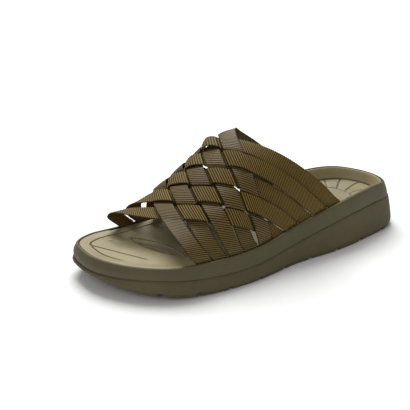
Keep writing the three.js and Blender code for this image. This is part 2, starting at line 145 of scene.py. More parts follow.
# Heights over the ground along the sole: share of the length from the heel, height.
RIM = [(0, 39.5), (0.1, 43.5), (0.25, 41.3), (0.45, 30.4), (0.6, 26.4), (0.78, 26.7), (1, 27.7)]
GROOVE = [
    (0, 27.5), (0.1, 29.2), (0.25, 26.6), (0.45, 16.2),
    (0.6, 12.9), (0.72, 13.8), (0.88, 17.6), (1, 16.2),
]
BOTTOM = [(0, 1.6), (0.06, 0), (0.66, 0), (0.8, 2.6), (0.9, 6.6), (1, 13.2)]

# Samples between two stations of the outline.
SAMPLES_PER_SPAN = 56


def smoothstep(start, end, value):
    """0 before start and 1 after end, with a smooth rise between them."""
    f = np.clip((np.asarray(value, float) - start) / (end - start), 0, 1)
    return f * f * (3 - 2 * f)


def profile(stations):
    """A smooth curve through (share, value) stations, as a function of the share."""
    x, y = np.array(stations, float).T
    before = np.r_[0, np.arange(len(x) - 1)]
    after = np.r_[np.arange(1, len(x)), len(x) - 1]
    slope = (y[after] - y[before]) / (x[after] - x[before])

    def value(share):
        s = np.clip(share, 0, 1)
        i = np.clip(np.searchsorted(x, s, side="left") - 1, 0, len(x) - 2)
        span = x[i + 1] - x[i]
        f = (s - x[i]) / span
        rise = f * f * (3 - 2 * f)
        start = f * (1 - f) ** 2 * span * slope[i]
        end = f * f * (1 - f) * span * slope[i + 1]
        return y[i] + (y[i + 1] - y[i]) * rise + start - end

    return value


rim_profile = profile(RIM)
groove_profile = profile(GROOVE)
bottom_profile = profile(BOTTOM)


def share_at(y):
    return 0.5 - np.asarray(y, float) / SOLE_LENGTH


def rim_z(y):
    return rim_profile(share_at(y))


def groove_z(y):
    return groove_profile(share_at(y))


def bottom_z(y):
    return np.maximum(bottom_profile(share_at(y)), 0)


def heel_share(y):
    """1 over the heel cup, falling to 0 at the forefoot."""
    return 1 - smoothstep(*HEEL_CUP_REACH, share_at(y))


def cup_depth(y):
    """How deep the footbed's floor lies below the rim."""
    return FOREFOOT_DISH + (HEEL_CUP_DEPTH - FOREFOOT_DISH) * heel_share(y)


def footbed_underside(y):
    return rim_z(y) - cup_depth(y) - FOOTBED_THICKNESS


def board_underside(y):
    return footbed_underside(y) - SEAM - BOARD_THICKNESS


def pedestal_z(y):
    return board_underside(y) - SEAM


def outsole_floor_z(y):
    return np.minimum(bottom_z(y) + OUTSOLE_FLOOR, groove_z(y) - FLOOR_BELOW_GROOVE)


def lateral_row(k):
    """The y of the strap end number k, from 0 at the front, along the lateral rim."""
    return LATERAL_ROW_MIDDLE + (k - (2 * STRAPS - 1) / 2) * LATERAL_PITCH


def medial_row(k):
    """The y of the strap end number k along the medial rim."""
    return MEDIAL_ROW_MIDDLE + (k - (2 * STRAPS - 1) / 2) * MEDIAL_PITCH


def closed_curve(points, samples):
    """A closed centripetal Catmull-Rom curve: its samples and their unit tangents."""
    points = np.array(points, float)
    t = (np.arange(samples) / samples)[:, None]
    places, tangents = [], []
    for i in range(len(points)):
        p0, p1, p2, p3 = (points[(i + k) % len(points)] for k in (-1, 0, 1, 2))
        g0, g1, g2 = (math.sqrt(np.linalg.norm(b - a)) for a, b in ((p0, p1), (p1, p2), (p2, p3)))
        start = ((p1 - p0) / g0 - (p2 - p0) / (g0 + g1) + (p2 - p1) / g1) * g1
        end = ((p2 - p1) / g1 - (p3 - p1) / (g1 + g2) + (p3 - p2) / g2) * g1
        square = -3 * p1 + 3 * p2 - 2 * start - end
        cube = 2 * p1 - 2 * p2 + start + end
        places.append(p1 + start * t + square * t**2 + cube * t**3)
        tangents.append(start + 2 * square * t + 3 * cube * t**2)
    places = np.concatenate(places)
    tangents = np.concatenate(tangents)
    return places, tangents / np.linalg.norm(tangents, axis=1)[:, None]


def sample_outline():
    """Outline samples from the heel along the lateral side to the toe and back, with outward normals."""
    lateral = [(out * BALL_WIDTH, (0.5 - share) * SOLE_LENGTH) for share, out, _ in OUTLINE]
    medial = [(-out * BALL_WIDTH, (0.5 - share) * SOLE_LENGTH) for share, _, out in OUTLINE]
    heel = (0, SOLE_LENGTH / 2)
    toe = (TOE_OFFSET * BALL_WIDTH, -SOLE_LENGTH / 2)
    places, tangents = closed_curve([heel, *lateral, toe, *reversed(medial)], SAMPLES_PER_SPAN)
    outward = np.stack([-tangents[:, 1], tangents[:, 0]], axis=1)
    return places, outward


def heel_extra(y):
    """How much further the side flares at the back of the heel."""
    return HEEL_FLARE * (1 - smoothstep(0, HEEL_FLARE_END, share_at(y)))


def side_outset(y):
    """How far the outsole's side stands outside the rim: less where it tapers out at the toe."""
    straight = MIDSOLE_FLARE + GROOVE_STEP
    tall = smoothstep(LOW_SIDE, HIGH_SIDE, groove_z(y) - bottom_z(y))
    return straight + (SIDE_FLARE - straight) * tall + heel_extra(y)


outline, outward = sample_outline()
RING = len(outline)
TOE = smoothstep(TOE_START, 1.0, share_at(outline[:, 1]))
SIDE = side_outset(outline[:, 1]) + TOE_FLARE * TOE
GROOVE_OUT = MIDSOLE_FLARE + HEEL_GROOVE_PART * heel_extra(outline[:, 1])

# The frame's box is centred on the flared side, and SHIFT takes the sole's axes to it.
flared = outline + outward * side_outset(outline[:, 1])[:, None]
cad_middle = np.array((cad_low + cad_high) / 2 * 1000)
SHIFT = np.append(cad_middle[:2] - (flared.max(axis=0) + flared.min(axis=0)) / 2, 0)


def strap_zone():
    """1 where an outline sample stands beside the row of strap ends, falling to 0 beyond it."""
    reach = WEBBING_WIDTH / 2 + ZONE_REACH
    y = outline[:, 1]
    lateral = outward[:, 0] > 0
    front = np.where(lateral, lateral_row(0), medial_row(0)) - reach
    rear = np.where(lateral, lateral_row(2 * STRAPS - 1), medial_row(2 * STRAPS - 1)) + reach
    return smoothstep(-ZONE_RAMP, 0, y - front) * (1 - smoothstep(0, ZONE_RAMP, y - rear))


zone = strap_zone()


def ring(inset, height):
    """One ring of points, inset from the outline. A negative inset is outside it."""
    xy = outline - outward * np.broadcast_to(inset, RING)[:, None]
    z = height(xy[:, 1]) if callable(height) else height
    return np.column_stack([xy, np.broadcast_to(z, RING)])


def raised(height, rise):
    """A height function, moved up by rise."""
    return lambda y: height(y) + rise


def cap(points, start, fractions, height, face_up):
    """Closes a ring with rows of quads that run from its lateral to its medial side."""
    half = RING // 2
    inner = fractions[1:-1]
    i = np.arange(1, half)
    lateral, medial = points[start + i, :2], points[start + RING - i, :2]
    xy = lateral[:, None] + (medial - lateral)[:, None] * inner[None, :, None]
    z = height(xy[..., 0], xy[..., 1])
    added = np.concatenate([xy, z[..., None]], axis=2).reshape(-1, 3)
    index = len(points) + np.arange(len(added)).reshape(half - 1, len(inner))
    rows = np.column_stack([start + i, index, start + RING - i])
    quads = np.stack([rows[:-1, :-1], rows[:-1, 1:], rows[1:, 1:], rows[1:, :-1]], axis=-1).reshape(-1, 4)
    heel = [(start, rows[0, m + 1], rows[0, m]) for m in range(rows.shape[1] - 1)]
    toe = [(rows[-1, m], rows[-1, m + 1], start + half) for m in range(rows.shape[1] - 1)]
    if not face_up:
        quads = quads[:, ::-1]
        heel = [f[::-1] for f in heel]
        toe = [f[::-1] for f in toe]
    return np.concatenate([points, added]), quads.tolist() + heel + toe


def loft(rings, underside, topside, low_fractions, high_fractions):
    """A closed body through a stack of rings, with the first and the last one capped."""
    points = np.concatenate(rings)
    i = np.arange(RING)
    following = (i + 1) % RING
    faces = []
    for k in range(len(rings) - 1):
        low, high = k * RING, (k + 1) * RING
        faces += np.column_stack([low + i, high + i, high + following, low + following]).tolist()
    points, low_faces = cap(points, 0, low_fractions, underside, False)
    points, high_faces = cap(points, (len(rings) - 1) * RING, high_fractions, topside, True)
    return points, faces + low_faces + high_faces


def make_piece(name, points, faces, sharp_angle=None, painted_shading=None):
    """A mesh object in metres, placed in the frame, smooth except at edges over sharp_angle."""
    mesh = bpy.data.meshes.new(name)
    mesh.from_pydata(((points + SHIFT) / 1000).tolist(), [], faces)
    mesh.shade_smooth()
    # This attribute holds painted shade and, where negative, painted highlights, which the materials mix
    # into the colour.
    if painted_shading is not None:
        layer = mesh.attributes.new("painted_shading", "FLOAT", "POINT")
        layer.data.foreach_set("value", np.asarray(painted_shading, np.float32))
    if sharp_angle is not None:
        mesh.set_sharp_from_angle(angle=math.radians(sharp_angle))
    piece = bpy.data.objects.new(name, mesh)
    bpy.context.scene.collection.objects.link(piece)
    return piece


DISTANCE_BATCH = 4000


def outline_distance(x, y):
    """How far inside the outline each point lies, worked out for a batch of points at a time."""
    flat = np.column_stack([np.ravel(x), np.ravel(y)])
    result = np.empty(len(flat))
    for first in range(0, len(flat), DISTANCE_BATCH):
        part = flat[first:first + DISTANCE_BATCH]
        apart = part[:, None] - outline[None]
        nearest = np.argmin((apart**2).sum(axis=2), axis=1)
        away = part - outline[nearest]
        result[first:first + DISTANCE_BATCH] = -(away * outward[nearest]).sum(axis=1)
    return result.reshape(np.shape(x))


def even(count):
    """Evenly spaced fractions from 0 to 1."""
    return np.linspace(0, 1, count + 1)


def crowded_at_ends(count, share=0.7):
    """Fractions from 0 to 1 that lie closer together at both ends."""
    f = np.linspace(0, 1, count + 1)
    return (1 - share) * f + share * (0.5 - 0.5 * np.cos(math.pi * f))


TRENCH_FLAT = 0.15


def trench(distance, width):
    """1 on a groove's middle line, falling smoothly to 0 at its edges."""
    return 1 - smoothstep(TRENCH_FLAT * width, width / 2, np.abs(distance))


# ---- outsole ----------------------------------------------------------------------------

TREAD_HEIGHT = 2.4
TREAD_SIDE_SHARE = 0.35
TREAD_INSET = 1.1
TREAD_UNDERCUT = 0.35
NOTCH_RISE = 1.3
LEAST_TREAD = 0.3
TREAD_TOP_DROP = 0.2
BAR_EDGE = (-0.8, 0.2)
ZIGZAG_PITCH = 11
ZIGZAG_HEIGHT = 1.6
SIPE_PITCH = 7.3
SIPE_WIDTH = 1.8
SIPE_DEPTH = 0.9
SIPE_MARGIN = (4, 7)

# The outsole's section from the ground up. The tread's foot: outset from its edge, and rise.
TREAD_FOOT = [(-0.9, 0.0), (-0.3, 0.15), (0.0, 0.55)]

# The bulging side: share of its height, then share of the way out to its widest line. Above
# that line it leans in to the ledge.
WIDEST = 0.13
SHOULDER = [(0.0, 0.25), (0.008, 0.5), (0.03, 0.78), (0.07, 0.94), (WIDEST, 1.0)]
LEANING_SIDE = [0.2, 0.3, 0.42, 0.54, 0.66, 0.78, 0.88]
SIDE_CURVE = 1.25

# The rounded edge of the ledge: outset from the ledge's own line, and rise over the groove.
LEDGE_EDGE = [(-0.06, -0.75), (-0.22, -0.4), (-0.45, -0.14), (-0.72, 0.0), (-1.0, -0.03)]
TREAD_ROWS = 90
HIDDEN_ROWS = 6


def tread_cut(x, y):
    """How far the tread is cut away at a place on the underside."""
    front = TREAD_SHIFT - (TREAD_BARS / 2 - 1) * TREAD_PITCH
    middle = np.clip(np.round((y - front) / TREAD_PITCH), 0, TREAD_BARS - 2) * TREAD_PITCH + front
    half = TREAD_GROOVE_WIDTH / 2
    bar = 1 - smoothstep(half + BAR_EDGE[0], half + BAR_EDGE[1], np.abs(y - middle))
    zigzag = ZIGZAG_HEIGHT * np.abs((x / ZIGZAG_PITCH) % 2 - 1)
    from_sipe = (y + zigzag) % SIPE_PITCH - SIPE_PITCH / 2
    sipe = trench(from_sipe, SIPE_WIDTH) * smoothstep(*SIPE_MARGIN, outline_distance(x, y))
    return np.maximum(TREAD_GROOVE_DEPTH * bar, SIPE_DEPTH * sipe)


def make_outsole():
    """A shallow rubber cup with a bulging flared side and a notched tread layer below it."""
    wall_inset = CUP_WALL - MIDSOLE_FLARE - GROOVE_STEP
    ledge = GROOVE_OUT + GROOVE_STEP
    y = outline[:, 1]
    ground, groove = bottom_z(y), groove_z(y)
    side = groove - ground
    tall = smoothstep(LOW_SIDE, HIGH_SIDE, side)
    tread = np.minimum(TREAD_HEIGHT, TREAD_SIDE_SHARE * side)
    edge = SIDE - TREAD_INSET * tall - TREAD_UNDERCUT
    edge_places = outline + outward * edge[:, None]
    cut = np.minimum(tread_cut(edge_places[:, 0], edge_places[:, 1]), tread - LEAST_TREAD)
    notch = cut / TREAD_GROOVE_DEPTH * tall

    def underside(x, y):
        return bottom_z(y) + tread_cut(x, y)

    def floor(x, y):
        return outsole_floor_z(y)

    def at(outset, height):
        return np.column_stack([outline + outward * outset[:, None], height])

    rings = [at(edge + out, np.maximum(ground + rise, ground + cut)) for out, rise in TREAD_FOOT]
    rings.append(at(edge, ground + tread - TREAD_TOP_DROP))
    for share, out in SHOULDER:
        rise = NOTCH_RISE * notch * (1 - share / WIDEST)
        rings.append(at(edge + (SIDE - edge) * out, ground + tread + (side - tread) * share + rise))
    for share in LEANING_SIDE:
        out = 1 - ((share - WIDEST) / (1 - WIDEST)) ** SIDE_CURVE
        rings.append(at(ledge + (SIDE - ledge) * out, ground + tread + (side - tread) * share))
    rings += [at(ledge + out, groove + rise) for out, rise in LEDGE_EDGE]
    rings.append(ring(wall_inset, raised(groove_z, LEDGE_EDGE[-1][1])))
    rings.append(ring(wall_inset, outsole_floor_z))

    points, faces = loft(rings, underside, floor, even(TREAD_ROWS), even(HIDDEN_ROWS))
    piece = make_piece("outsole_tread", points, faces, sharp_angle=40)
    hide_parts("outsole")
    return piece


# ---- midsole ----------------------------------------------------------------------------

# The side leans in from the groove to a place RIM_OUT outside the rim and RIM_DROP below it,
# and bulges on the way, most of all at the toe.
LEDGE_GAP = 0.05
RIM_OUT = 0.55
RIM_DROP = 1.7
LEAN_CURVE = 1.2
SIDE_BULGE = 0.25
TOE_BULGE = 1.1

# The channels for the lasted strap ends run past them a little, and their ends slope.
CHANNEL_SPARE = 0.6
CHANNEL_SLOPE = 0.8

# The midsole's foot on the ledge: inset from the groove's line, and rise over LEDGE_GAP.
MIDSOLE_FOOT = [(0.7, 0.0), (0.16, 0.0), (0.04, 0.06), (0.0, 0.18)]
MIDSOLE_SIDE = [0.05, 0.12, 0.22, 0.34, 0.46, 0.58, 0.7, 0.82, 0.92, 1.0]

# The rounded lip: inset from the outline, rise over the rim, and painted light. The painted light is
# positive where shade is painted into the seam beside the footbed and negative where a highlight is painted
# on the lip's top.
LIP = [
    (-0.38, -1.1, 0.0),
    (-0.12, -0.62, -0.1),
    (0.22, -0.27, -0.2),
    (0.65, -0.07, -0.3),
    (LIP_THICKNESS / 2 + 0.1, 0.0, -0.3),
    (LIP_THICKNESS - 0.5, -0.05, -0.25),
    (LIP_THICKNESS - 0.2, -0.22, 0.0),
    (LIP_THICKNESS - 0.04, -0.5, 0.4),
    (LIP_THICKNESS, -0.9, 0.8),
]


def make_midsole():
    """A foam tray whose lip stands around the footbed."""
    foot_inset = CUP_WALL - MIDSOLE_FLARE - GROOVE_STEP + SEAM
    channel_end = SLOT_INSET + TAIL_LENGTH + CHANNEL_SPARE
    channel_depth = WEBBING_THICKNESS + SEAM
    bulge = SIDE_BULGE + TOE_BULGE * TOE

    def channel_z(y):
        return pedestal_z(y) - channel_depth * zone

    def pedestal(x, y):
        return pedestal_z(y)

    def foot(x, y):
        return outsole_floor_z(y) + SEAM

    def side_height(share):
        return lambda y: groove_z(y) + SEAM + (rim_z(y) - RIM_DROP - groove_z(y) - SEAM) * share

    rings = [
        ring(foot_inset, raised(outsole_floor_z, SEAM)),
        ring(foot_inset, raised(groove_z, SEAM)),
    ]
    rings += [ring(inset - GROOVE_OUT, raised(groove_z, LEDGE_GAP + rise)) for inset, rise in MIDSOLE_FOOT]
    for share in MIDSOLE_SIDE:
        lean = -GROOVE_OUT + (GROOVE_OUT - RIM_OUT) * share**LEAN_CURVE
        rings.append(ring(lean - bulge * math.sin(math.pi * share), side_height(share)))
    lip_start = len(rings) * RING
    rings += [ring(inset, raised(rim_z, rise)) for inset, rise, _ in LIP]
    rings += [
        ring(LIP_THICKNESS, channel_z),
        ring(channel_end, channel_z),
        ring(channel_end + CHANNEL_SLOPE, pedestal_z),
    ]
    points, faces = loft(rings, foot, pedestal, even(HIDDEN_ROWS), even(HIDDEN_ROWS))
    # The lip's rings carry painted shade in the seam on their inner side and a painted highlight on the
    # lip's top.
    painted_shading = np.zeros(len(points))
    painted_shading[lip_start:lip_start + len(LIP) * RING] = np.repeat([lip_painted_light for _, _, lip_painted_light in LIP], RING)
    piece = make_piece("midsole_tray", points, faces, sharp_angle=50, painted_shading=painted_shading)
    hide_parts("midsole")
    return piece


# ---- footbed ----------------------------------------------------------------------------

LINE_WIDTH = 1.7
LINE_DEPTH = 1.0

# The forefoot's line runs along the rim on the medial side. In front of FOREFOOT_TURN it goes on
# round the toe, and fades out towards the lateral side.
FOREFOOT_GROOVE_INSET = 11.5
FOREFOOT_START = (50, 62)
FOREFOOT_TURN = -100
FOREFOOT_FADE = (8, 20)
FOREFOOT_FADE_SLOPE = 0.4
FOREFOOT_FADE_PLACE = 122
TOE_LINE = ((-25.5, -130.5), (27.0, -102.5))
TOE_LINE_FADE = 0.85
SHORT_LINE = ((-29.5, -114.5), (-19.5, -107.0))
SHORT_LINE_DEPTH = 0.6

# The heel cup has a line along its wall, an oval around its middle and rays between them.
HEEL_GROOVE_INSET = 8.6
HEEL_START = (40, 52)
HEEL_ARC_CENTRE = (3.0, 83.0)
HEEL_ARC_RADII = (21.0, 24.0)
HEEL_RAYS = range(-40, 220, 21)
HEEL_RAY_TURN = 10
HEEL_RAY_REACH = 75
HEEL_RAY_DEPTH = 0.85
HEEL_DISH = 2.4
HEEL_DISH_REACH = 26
# Painted shade on the heel cup's floor inside the line along its wall, and the distance over which it fades
# in.
HEEL_PAINTED_SHADE = 0.21
HEEL_PAINTED_SHADE_EDGE = 1.5

# Lens-shaped hollows under the toes: centre, half length, half width, turn in degrees.
OUTER_HOLLOW = ((5.5, -85.5), 31, 8.0, 19)
INNER_HOLLOW = ((6.5, -87.5), 20, 3.6, 19)
FRONT_HOLLOW = ((-9, -104), 22, 8.0, 28)

# The wall that slopes down from the rim to the floor, in the forefoot and in the heel cup.
WALL_WIDTH = 10.0
HEEL_WALL_LESS = 3.0
EDGE_DROP = 0.3
HEEL_FLOOR_RISE = 1.2
WALL_START = 0.1

# The footbed's rounded edge: inset from it, and drop below the surface. The rings beside the
# lip get painted shade for the seam, from the top of the side wall inwards.
FOOTBED_EDGE = [(0, 0.9), (0.08, 0.56), (0.27, 0.27), (0.56, 0.08), (0.95, 0)]
EDGE_PAINTED_SHADE = [0.8, 0.7, 0.45, 0.15]
SIDE_ROUNDING = 0.3
SIDE_TOP = -3.0
FOOTBED_ROWS = 170
# Painted shade along the edges of the toe hollows.
HOLLOW_EDGE_PAINTED_SHADE = 0.75

# Points more than this far below the floor belong to the underside, and stay unmarked.
MARKED_DEPTH = 5


def segment_distance(x, y, start, end):
    """Distance from a straight segment, and the share of the way along it."""
    ax, ay = start
    dx, dy = end[0] - ax, end[1] - ay
    f = np.clip(((x - ax) * dx + (y - ay) * dy) / (dx * dx + dy * dy), 0, 1)
    return np.hypot(x - ax - dx * f, y - ay - dy * f), f


def lens(x, y, centre, half_length, half_width, degrees):
    """Positive inside a lens-shaped outline, in millimetres from its long edges."""
    angle = math.radians(degrees)
    dx, dy = x - centre[0], y - centre[1]
    along = dx * math.cos(angle) + dy * math.sin(angle)
    aside = -dx * math.sin(angle) + dy * math.cos(angle)
    return half_width * (1 - (along / half_length) ** 2) - np.abs(aside)


def footbed_lines(x, y, inset):
    """1 in the middle of the lines moulded into the footbed, 0 away from them."""
    fore = smoothstep(*FOREFOOT_START, -y)
    lateral_fade = 1 - smoothstep(*FOREFOOT_FADE, x - FOREFOOT_FADE_SLOPE * (y + FOREFOOT_FADE_PLACE))
    lines = trench(inset - FOREFOOT_GROOVE_INSET, LINE_WIDTH) * fore
    lines *= np.where(y < FOREFOOT_TURN, lateral_fade, x < 0)
    apart, f = segment_distance(x, y, *TOE_LINE)
    lines = np.maximum(lines, trench(apart, LINE_WIDTH) * (1 - smoothstep(TOE_LINE_FADE, 1, f)))
    apart, f = segment_distance(x, y, *SHORT_LINE)
    lines = np.maximum(lines, SHORT_LINE_DEPTH * trench(apart, LINE_WIDTH) * np.sin(math.pi * f))

    heel = smoothstep(*HEEL_START, y)
    lines = np.maximum(lines, trench(inset - HEEL_GROOVE_INSET, LINE_WIDTH) * heel)
    cx, cy = HEEL_ARC_CENTRE
    rx, ry = HEEL_ARC_RADII
    radius = np.hypot((x - cx) / rx, (y - cy) / ry)
    lines = np.maximum(lines, trench((radius - 1) * (rx + ry) / 2, LINE_WIDTH))
    ringed = (radius > 1) & (inset > HEEL_GROOVE_INSET)
    for degrees in HEEL_RAYS:
        outer, inner = math.radians(degrees), math.radians(degrees - HEEL_RAY_TURN)
        start = (cx + rx * math.cos(inner), cy + ry * math.sin(inner))
        end = (cx + HEEL_RAY_REACH * math.cos(outer), cy + HEEL_RAY_REACH * math.sin(outer))
        apart, _ = segment_distance(x, y, start, end)
        lines = np.maximum(lines, HEEL_RAY_DEPTH * trench(apart, LINE_WIDTH) * heel * ringed)
    return lines


def toe_hollows(x, y):
    """Depth of the lens-shaped hollows under the toes."""
    hollow = 1.2 * smoothstep(0, 1.6, lens(x, y, *OUTER_HOLLOW))
    hollow += 0.9 * smoothstep(0, 1.4, lens(x, y, *INNER_HOLLOW))
    return hollow + 0.35 * smoothstep(0, 6.0, lens(x, y, *FRONT_HOLLOW))


def hollow_edges(x, y):
    """1 along the edges of the two nested hollows."""
    outer = trench(lens(x, y, *OUTER_HOLLOW) - 0.4, 1.3)
    inner = trench(lens(x, y, *INNER_HOLLOW) - 0.4, 1.2)
    return np.maximum(outer, 0.8 * inner)


def footbed_surface(x, y):
    """Height of the footbed's top."""
    inset = outline_distance(x, y)
    edge = LIP_THICKNESS + SEAM
    heel = heel_share(y)
    wall = WALL_WIDTH - HEEL_WALL_LESS * heel
    floor_depth = cup_depth(y) - HEEL_FLOOR_RISE * heel - EDGE_DROP
    depth = EDGE_DROP + floor_depth * smoothstep(WALL_START, 1, (inset - edge) / wall)
    dish = HEEL_DISH * heel * smoothstep(0, HEEL_DISH_REACH, inset - HEEL_GROOVE_INSET)
    relief = LINE_DEPTH * footbed_lines(x, y, inset) + toe_hollows(x, y)
    return rim_z(y) - depth - dish - relief


def footbed_painted_shade(points):
    """How much shade is painted on each point: in the moulded lines, along the hollows' edges, on the heel's
    floor and beside the lip.
    """
    x, y, z = points.T
    inset = outline_distance(x, y)
    # Painted shade in the moulded lines and along the hollows' edges.
    painted_shading = np.maximum(footbed_lines(x, y, inset), HOLLOW_EDGE_PAINTED_SHADE * hollow_edges(x, y))
    painted_shading = np.where(z > rim_z(y) - cup_depth(y) - MARKED_DEPTH, painted_shading, 0)
    # Painted shade on the heel cup's floor.
    floor = heel_share(y) * smoothstep(0, HEEL_PAINTED_SHADE_EDGE, inset - HEEL_GROOVE_INSET)
    painted_shading = np.maximum(painted_shading, HEEL_PAINTED_SHADE * floor)
    # Painted shade on the rings beside the lip, in the seam.
    side_rings = 2 * RING
    painted_shading[side_rings:side_rings + len(EDGE_PAINTED_SHADE) * RING] = np.repeat(EDGE_PAINTED_SHADE, RING)
    return painted_shading


def make_footbed():
    """Moulded foam with a deep heel cup and sculpted lines."""
    plain = LIP_THICKNESS + SEAM
    edge = plain + (CHANNEL_INSET - plain) * zone

    def edge_ring(inset, drop):
        points = ring(edge + inset, 0)
        points[:, 2] = footbed_surface(points[:, 0], points[:, 1]) - drop
        return points

    def underside(x, y):
        return footbed_underside(y)

    rings = [
        ring(edge + SIDE_ROUNDING, footbed_underside),
        ring(edge, raised(footbed_underside, SIDE_ROUNDING)),
        ring(edge, raised(rim_z, SIDE_TOP)),
    ]
    rings += [edge_ring(inset, drop) for inset, drop in FOOTBED_EDGE]
    top_rows = crowded_at_ends(FOOTBED_ROWS)
    points, faces = loft(rings, underside, footbed_surface, even(HIDDEN_ROWS), top_rows)
    piece = make_piece("footbed_foam", points, faces, painted_shading=footbed_painted_shade(points))
    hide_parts("footbed")
    return piece


# ---- straps -----------------------------------------------------------------------------

# The upper's surface: a row of leaning hoops. Its arch grows from the front to the rear.
FRONT_ARCH = 22.5
REAR_ARCH = 65.5
ARCH_BLEND = (-60, 42)
HOOP_LEAN = 41.0
LEAN_SKEW = 0.17
RIDGE_SHIFT = -14.2
RIDGE_SHIFT_SLOPE = -0.11
SIDE_FULLNESS = 0.32
TOP_FULLNESS = 0.12

# How far the straps bow along the sole on their way over the foot.
LATERAL_BOW = 2.7
REAR_STRAP_BOW = 2.3
FRONT_CROSS_BOW = -3.7
REAR_CROSS_BOW = 1.3

# The upper's rearmost corner sags: how far, around which place in the lattice, and how wide.
CORNER_SAG = 5.0
CORNER_PLACE = (5.7, 7.4)
CORNER_REACH = 1.0


# The least sideways part of the outline's normal where straps can enter the sole.
LEAST_SIDEWAYS = 0.3


def slot_line(side):
    """The x of the line where straps enter the sole, along one side, as a function of y."""
    beside = (np.sign(outward[:, 0]) == side) & (np.abs(outward[:, 0]) > LEAST_SIDEWAYS)
    line = outline[beside] - outward[beside] * SLOT_INSET
    line = line[np.argsort(line[:, 1])]
    return lambda y: np.interp(y, line[:, 1], line[:, 0])


lateral_slot_x = slot_line(1)
medial_slot_x = slot_line(-1)


def unit(vectors):
    """The vectors at a length of 1."""
    return vectors / np.maximum(np.linalg.norm(vectors, axis=-1, keepdims=True), 1e-12)


def hoop_point(u, station):
    """The upper's surface: u goes from 0 at the lateral rim to 1 at the medial rim."""
    angle = math.pi * u
    sine, cosine = np.sin(angle), np.cos(angle)
    lateral, medial = lateral_slot_x(station), medial_slot_x(station)
    across = cosine * (1 + SIDE_FULLNESS * sine**2)
    upward = sine * (1 + TOP_FULLNESS * cosine**2)
    ridge = (RIDGE_SHIFT + RIDGE_SHIFT_SLOPE * station) * sine**2
    arch = FRONT_ARCH + (REAR_ARCH - FRONT_ARCH) * smoothstep(*ARCH_BLEND, station)
    lean = HOOP_LEAN * 4 * u * (1 - u) * (1 + LEAN_SKEW * (u - 0.5))
    x = (lateral + medial) / 2 + (lateral - medial) / 2 * across + ridge
    return np.stack([x, station - lean, rim_z(station) + arch * upward], axis=-1)


def cross_bow(b):
    """The bow of line b of the medial set."""
    return FRONT_CROSS_BOW * np.clip(2 - b, 0, 1) + REAR_CROSS_BOW * np.clip(b - 4, 0, 1)


def strap_bow(a):
    """The bow of line a of the lateral set."""
    return LATERAL_BOW + REAR_STRAP_BOW * np.clip(a - 4, 0, 1)


def first_station(a, u):
    """The hoop that line a of the lateral set has reached at the share u of its way."""
    return (1 - u) * lateral_row(a - 1) + u * medial_row(STRAPS - 1 + a) + strap_bow(a) * 4 * u * (1 - u)


def second_station(b, u):
    """The hoop that line b of the medial set has reached at the share u of its way."""
    return (1 - u) * lateral_row(STRAPS - 1 + b) + u * medial_row(b - 1) + cross_bow(b) * 4 * u * (1 - u)


def hoop_share(a, b):
    """Where the two sets' lines a and b cross, as the share of the way over the foot."""
    lateral = LATERAL_PITCH * (STRAPS + b - a)
    medial = MEDIAL_PITCH * (STRAPS + a - b)
    u = lateral / (lateral + medial)
    for _ in range(6):
        gap = first_station(a, u) - second_station(b, u)
        bow = 4 * (strap_bow(a) - cross_bow(b)) * (1 - 2 * u)
        u = np.clip(u - gap / (lateral + medial + bow), 0, 1)
    return u


def lattice_point(a, b):
    """The upper's surface where lines a and b cross. Its rearmost corner sags a little."""
    u = hoop_share(a, b)
    point = hoop_point(u, first_station(a, u))
    from_corner = (a - CORNER_PLACE[0]) ** 2 + (b - CORNER_PLACE[1]) ** 2
    point[..., 2] -= CORNER_SAG * np.exp(-from_corner / (2 * CORNER_REACH**2))
    return point


RIM_MARGIN = 0.006
HOOP_STEP = 0.005
STATION_STEP = 0.5


def lattice_normal(a, b):
    """The outward normal of the upper's surface where lines a and b cross."""
    u = np.clip(hoop_share(a, b), RIM_MARGIN, 1 - RIM_MARGIN)
    station = first_station(a, u)
    along_hoop = hoop_point(u + HOOP_STEP, station) - hoop_point(u - HOOP_STEP, station)
    along_sole = hoop_point(u, station + STATION_STEP) - hoop_point(u, station - STATION_STEP)
    return unit(np.cross(along_sole, along_hoop))


def lattice_place(first_set, number, progress, across):
    """The lines (a, b) that cross at a place along and across one strap."""
    if first_set:
        return number + across, number + progress
    return number - progress, number + across


def weave_side(first_set, number, crossing):
    """+1 where a strap lies over the strap that it crosses, -1 where it lies under it."""
    c = np.clip(crossing, 1, STRAPS)
    low = np.minimum(np.floor(c), STRAPS - 1)
    over = np.where((low + number) % 2 == 0, 1, -1)
    side = over * (1 - 2 * smoothstep(PLATEAU, 1 - PLATEAU, c - low))
    return side if first_set else -side


END_MARGIN = 0.3
LATTICE_STEP = 0.05


def strap_spacing(first_set, number, progress):
    """Distance between neighbouring straps of one set, square to their length."""
    p = np.clip(progress, END_MARGIN - STRAPS, STRAPS - END_MARGIN)

    def at(along, across):
        return lattice_point(*lattice_place(first_set, number, along, across))

    forward = unit(at(p + LATTICE_STEP, 0.0) - at(p - LATTICE_STEP, 0.0))
    sideways = (at(p, LATTICE_STEP) - at(p, -LATTICE_STEP)) / (2 * LATTICE_STEP)
    sideways = sideways - (sideways * forward).sum(axis=-1, keepdims=True) * forward
    return np.linalg.norm(sideways, axis=-1)


# The webbing's texture space is measured in units of this many millimetres.
TEXTURE_UNIT = 100.0

# The strip's mesh: places across its middle and round each selvedge, sections to each rib, and
# steps of the table that turns progress into length.
MIDDLE_PLACES = 31
SELVEDGE_PLACES = 4
SECTIONS_PER_RIB = 7
TABLE_STEPS = 3001

# The selvedge is rounded, and ribs stand out from it as small teeth.
EDGE_RADIUS = 0.52
SERRATION = 0.3
TOOTH_MIDDLE = 0.6
TOOTH_NARROWNESS = 14

# Inside the weave a strap is squeezed to this share of the spacing on each side. It regains
# its width past the last crossing, between these shares of the way to where the next would be.
WEAVE_HALF_WIDTH = 0.455
WIDENING = (0.42, 0.64)

